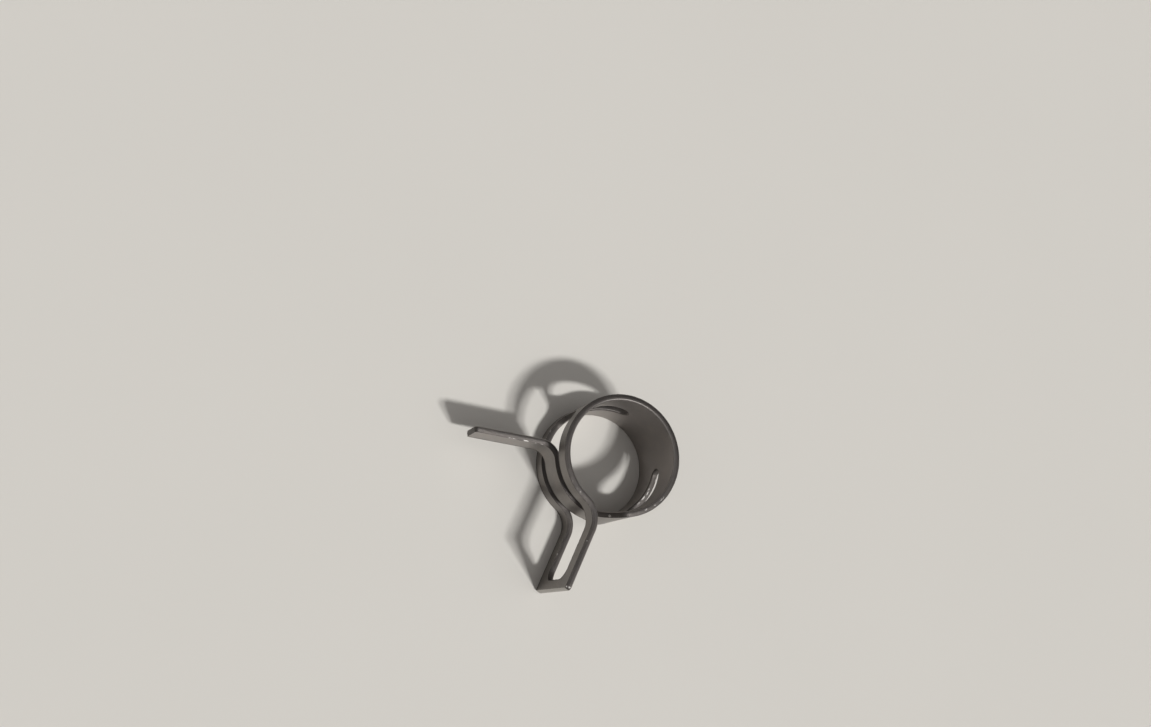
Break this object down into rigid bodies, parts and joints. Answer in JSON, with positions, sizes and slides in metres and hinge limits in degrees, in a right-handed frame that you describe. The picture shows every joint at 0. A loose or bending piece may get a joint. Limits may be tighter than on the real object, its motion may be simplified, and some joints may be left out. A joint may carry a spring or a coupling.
{
  "type": "spring hose clamp",
  "caption": "One-piece spring steel band clamp for a 15 mm hose, with two squeeze ears.",
  "frame": {"origin": "on the bore's axis, in the plane of the lower edge that the clamp stands on", "axes": "+Z along the bore's axis, up from the lower edge; the two ears point towards -Y, one either side of it"},
  "size_m": [0.0246, 0.0242, 0.012],
  "materials": {
    "spring_steel": "satin"
  },
  "bodies": {
    "root": {"spring_clip": "spring_steel"}
  },
  "joints": []
}
